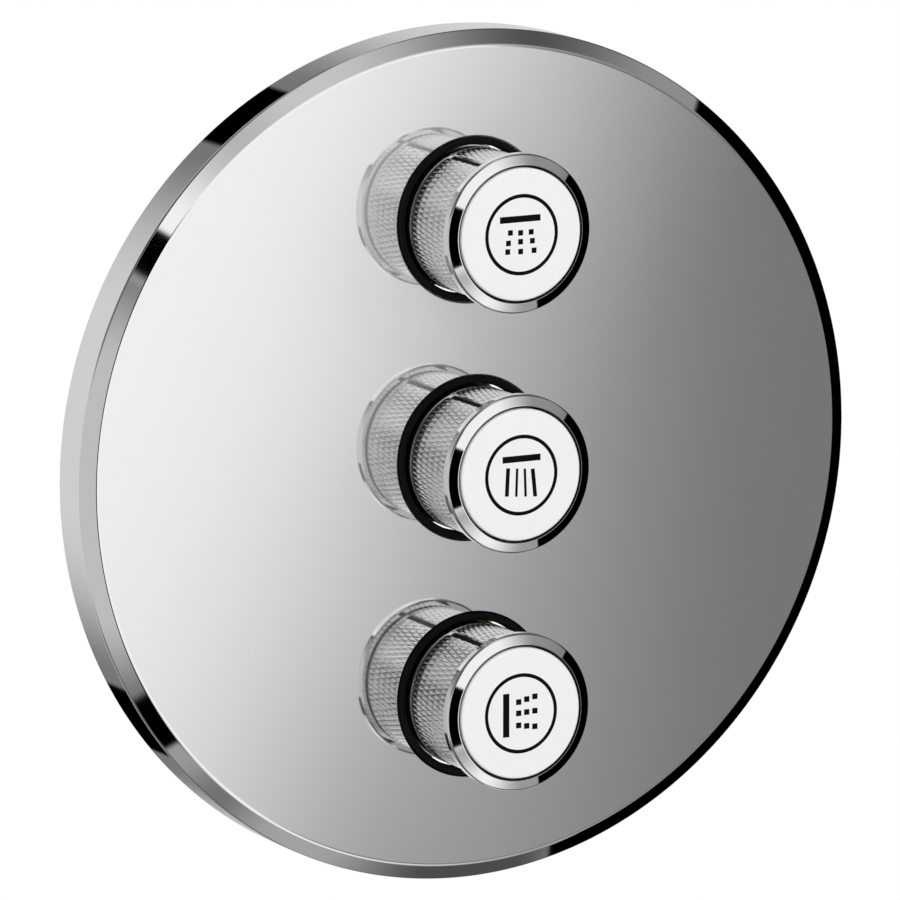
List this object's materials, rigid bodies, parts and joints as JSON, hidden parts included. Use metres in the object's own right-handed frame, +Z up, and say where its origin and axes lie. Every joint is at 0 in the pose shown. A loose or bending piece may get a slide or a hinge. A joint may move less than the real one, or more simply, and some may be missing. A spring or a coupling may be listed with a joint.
{
  "type": "push-button shower control panel",
  "caption": "Round polished wall plate with a column of knurled push-and-turn shower flow knobs, white marked buttons and a brass valve block behind.",
  "frame": {"origin": "centre of the four fixing holes, on the valve block's back face", "axes": "+Y into the wall, the plate and knobs face -Y, +Z up, +X to the right as seen from the front"},
  "size_m": [0.158, 0.0755, 0.158],
  "materials": {
    "chrome": "mirror polished, with a fine diamond knurl on the sleeves",
    "white_face": "smooth satin white with black marks",
    "black_rubber": "smooth moulded",
    "foam": "closed-cell foam",
    "dark_plastic": "moulded, fine grain",
    "pale_plastic": "moulded, smooth",
    "brass": "cast and machined",
    "steel": "zinc-plated and turned"
  },
  "bodies": {
    "wall_unit": {"escutcheon": "chrome", "wall_gasket": "foam", "carrier": "dark_plastic", "carrier_screws": "steel", "carrier_spacers": "pale_plastic", "valve_block": "brass", "rail_plugs": "brass", "port_seals": "black_rubber", "lip_seal_top": "black_rubber", "gland_nut_top": "brass", "insert_top": "pale_plastic", "insert_seals_top": "black_rubber", "return_spring_top": "steel", "lip_seal_middle": "black_rubber", "gland_nut_middle": "brass", "insert_middle": "pale_plastic", "insert_seals_middle": "black_rubber", "return_spring_middle": "steel", "lip_seal_bottom": "black_rubber", "gland_nut_bottom": "brass", "insert_bottom": "pale_plastic", "insert_seals_bottom": "black_rubber", "return_spring_bottom": "steel"},
    "turn_ring_top": {"grip_top": "chrome", "grip_hub_top": "dark_plastic", "spindle_top": "brass", "clip_top": "steel"},
    "push_top": {"button_top": "white_face", "plunger_top": "steel"},
    "turn_ring_middle": {"grip_middle": "chrome", "grip_hub_middle": "dark_plastic", "spindle_middle": "brass", "clip_middle": "steel"},
    "push_middle": {"button_middle": "white_face", "plunger_middle": "steel"},
    "turn_ring_bottom": {"grip_bottom": "chrome", "grip_hub_bottom": "dark_plastic", "spindle_bottom": "brass", "clip_bottom": "steel"},
    "push_bottom": {"button_bottom": "white_face", "plunger_bottom": "steel"}
  },
  "joints": [
    {"name": "flow_top", "type": "hinge", "parent": "wall_unit", "child": "turn_ring_top", "pos_m": [0, -0.06, 0.0442], "axis": [0, 1, 0], "range_deg": [0, 110]},
    {"name": "press_top", "type": "slide", "parent": "wall_unit", "child": "push_top", "axis": [0, 1, 0], "range_m": [0, 0.003], "stiffness_N_per_m": 1000, "springref_m": -0.002, "deforming": ["return_spring_top"]},
    {"name": "flow_middle", "type": "hinge", "parent": "wall_unit", "child": "turn_ring_middle", "pos_m": [0, -0.06, 0], "axis": [0, 1, 0], "range_deg": [0, 110]},
    {"name": "press_middle", "type": "slide", "parent": "wall_unit", "child": "push_middle", "axis": [0, 1, 0], "range_m": [0, 0.003], "stiffness_N_per_m": 1000, "springref_m": -0.002, "deforming": ["return_spring_middle"]},
    {"name": "flow_bottom", "type": "hinge", "parent": "wall_unit", "child": "turn_ring_bottom", "pos_m": [0, -0.06, -0.0442], "axis": [0, 1, 0], "range_deg": [0, 110]},
    {"name": "press_bottom", "type": "slide", "parent": "wall_unit", "child": "push_bottom", "axis": [0, 1, 0], "range_m": [0, 0.003], "stiffness_N_per_m": 1000, "springref_m": -0.002, "deforming": ["return_spring_bottom"]}
  ]
}
